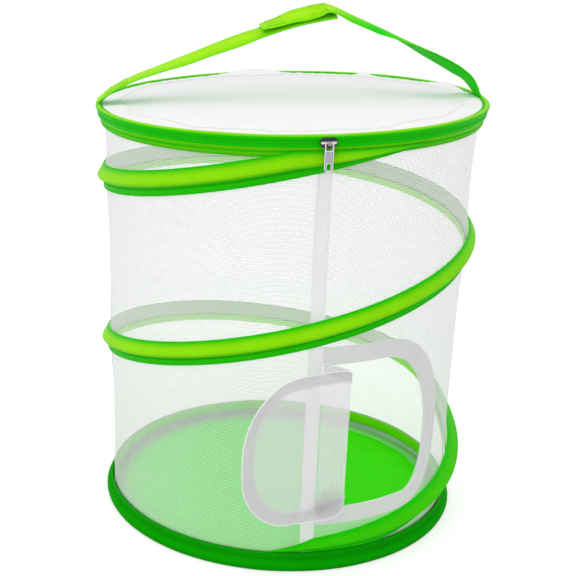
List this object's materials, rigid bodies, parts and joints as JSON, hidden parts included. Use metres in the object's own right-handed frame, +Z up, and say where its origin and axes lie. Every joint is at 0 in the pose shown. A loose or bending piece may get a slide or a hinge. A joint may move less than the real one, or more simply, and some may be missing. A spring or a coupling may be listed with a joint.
{
  "type": "insect cage",
  "caption": "Pop-up net insect cage: cylinder on wire hoops and a sleeved spring, zipped net lid with carry strap, net door folded open, solid floor.",
  "frame": {"origin": "middle of the floor's underside, on the surface that the cage stands on", "axes": "+Z up along the cage's axis; the seam, the door and the zip slider's parked place face -Y; the carry strap crosses the lid along X"},
  "size_m": [0.3, 0.3249, 0.4039],
  "materials": {
    "green_cloth": "woven polyester, satin sheen",
    "floor_cloth": "woven polyester",
    "green_zip": "nylon coil on woven tape",
    "white_net": "fine knitted net, see-through",
    "white_tape": "woven tape",
    "spring_steel": "drawn wire",
    "slider_metal": "dark plated",
    "pull_metal": "plated, satin recess"
  },
  "bodies": {
    "base": {"bottom_sleeve": "green_cloth", "bottom_hoop_wire": "spring_steel", "bottom_hoop_ferrule": "spring_steel", "floor_panel": "floor_cloth", "floor_seam_allowance": "white_tape", "bottom_stay_tape": "green_cloth", "spring_sleeve": "green_cloth", "spring_wire": "spring_steel", "spring_stay_tape": "green_cloth", "net_wall": "white_net", "wall_seam_strip": "white_tape", "door_border_tape": "white_tape", "door_net_root": "white_net", "door_tape_root_upper": "white_tape", "door_tape_root_lower": "white_tape"},
    "door_middle": {"door_net_middle": "white_net", "door_tape_middle_upper": "white_tape", "door_tape_middle_lower": "white_tape", "door_hook_patch": "white_tape"},
    "door_tip": {"door_net_tip": "white_net", "door_tape_tip": "white_tape"},
    "collar": {"collar_band": "green_cloth", "zip_collar_chain": "green_zip", "zip_stop_left": "spring_steel", "zip_stop_right": "spring_steel"},
    "lid": {"lid_piping": "green_cloth", "top_hoop_wire": "spring_steel", "top_hoop_ferrule": "spring_steel", "lid_net": "white_net", "lid_hem": "white_tape", "zip_lid_chain": "green_zip", "lid_hinge_tab": "green_cloth", "strap_end_left": "green_cloth", "strap_end_right": "green_cloth"},
    "handle": {"carry_strap_left": "green_cloth", "carry_strap_right": "green_cloth"},
    "zip_slider": {"zip_slider": "slider_metal", "zip_slider_bridge": "slider_metal"},
    "zip_pull": {"zip_pull_tab": "pull_metal"}
  },
  "joints": [
    {"name": "collapse", "type": "slide", "parent": "base", "child": "collar", "axis": [0, 0, 1], "range_m": [-0.284, 0], "stiffness_N_per_m": 20, "springref_m": 0.25, "deforming": ["spring_wire", "spring_sleeve", "spring_stay_tape", "net_wall", "wall_seam_strip", "door_border_tape", "door_net_root", "door_tape_root_upper", "door_tape_root_lower", "door_net_middle", "door_tape_middle_upper", "door_tape_middle_lower", "door_hook_patch", "door_net_tip", "door_tape_tip"]},
    {"name": "lid_hinge", "type": "hinge", "parent": "collar", "child": "lid", "pos_m": [0, 0.1497, 0.3301], "axis": [-1, 0, 0], "range_deg": [0, 110]},
    {"name": "strap_swing", "type": "hinge", "parent": "lid", "child": "handle", "pos_m": [0, 0, 0.337], "axis": [1, 0, 0], "range_deg": [-40, 40]},
    {"name": "zip_travel", "type": "hinge", "parent": "collar", "child": "zip_slider", "pos_m": [0, 0, 0.3301], "axis": [0, 0, 1], "range_deg": [-163, 158]},
    {"name": "zip_pull_swing", "type": "hinge", "parent": "zip_slider", "child": "zip_pull", "pos_m": [0.00638, -0.15227, 0.3309], "axis": [-0.9991, -0.0419, 0], "range_deg": [0, 150]},
    {"name": "door_fold", "type": "hinge", "parent": "base", "child": "door_middle", "pos_m": [0.03261, -0.14324, 0.052], "axis": [0, 0, 1], "range_deg": [0, 180.4]},
    {"name": "door_bend", "type": "hinge", "parent": "door_middle", "child": "door_tip", "pos_m": [-0.00571, -0.15781, 0.052], "axis": [0, 0, 1], "range_deg": [0, 25]}
  ],
  "couplings": [
    {"joint": "door_bend", "follows": "door_fold", "ratio": 0.11}
  ]
}
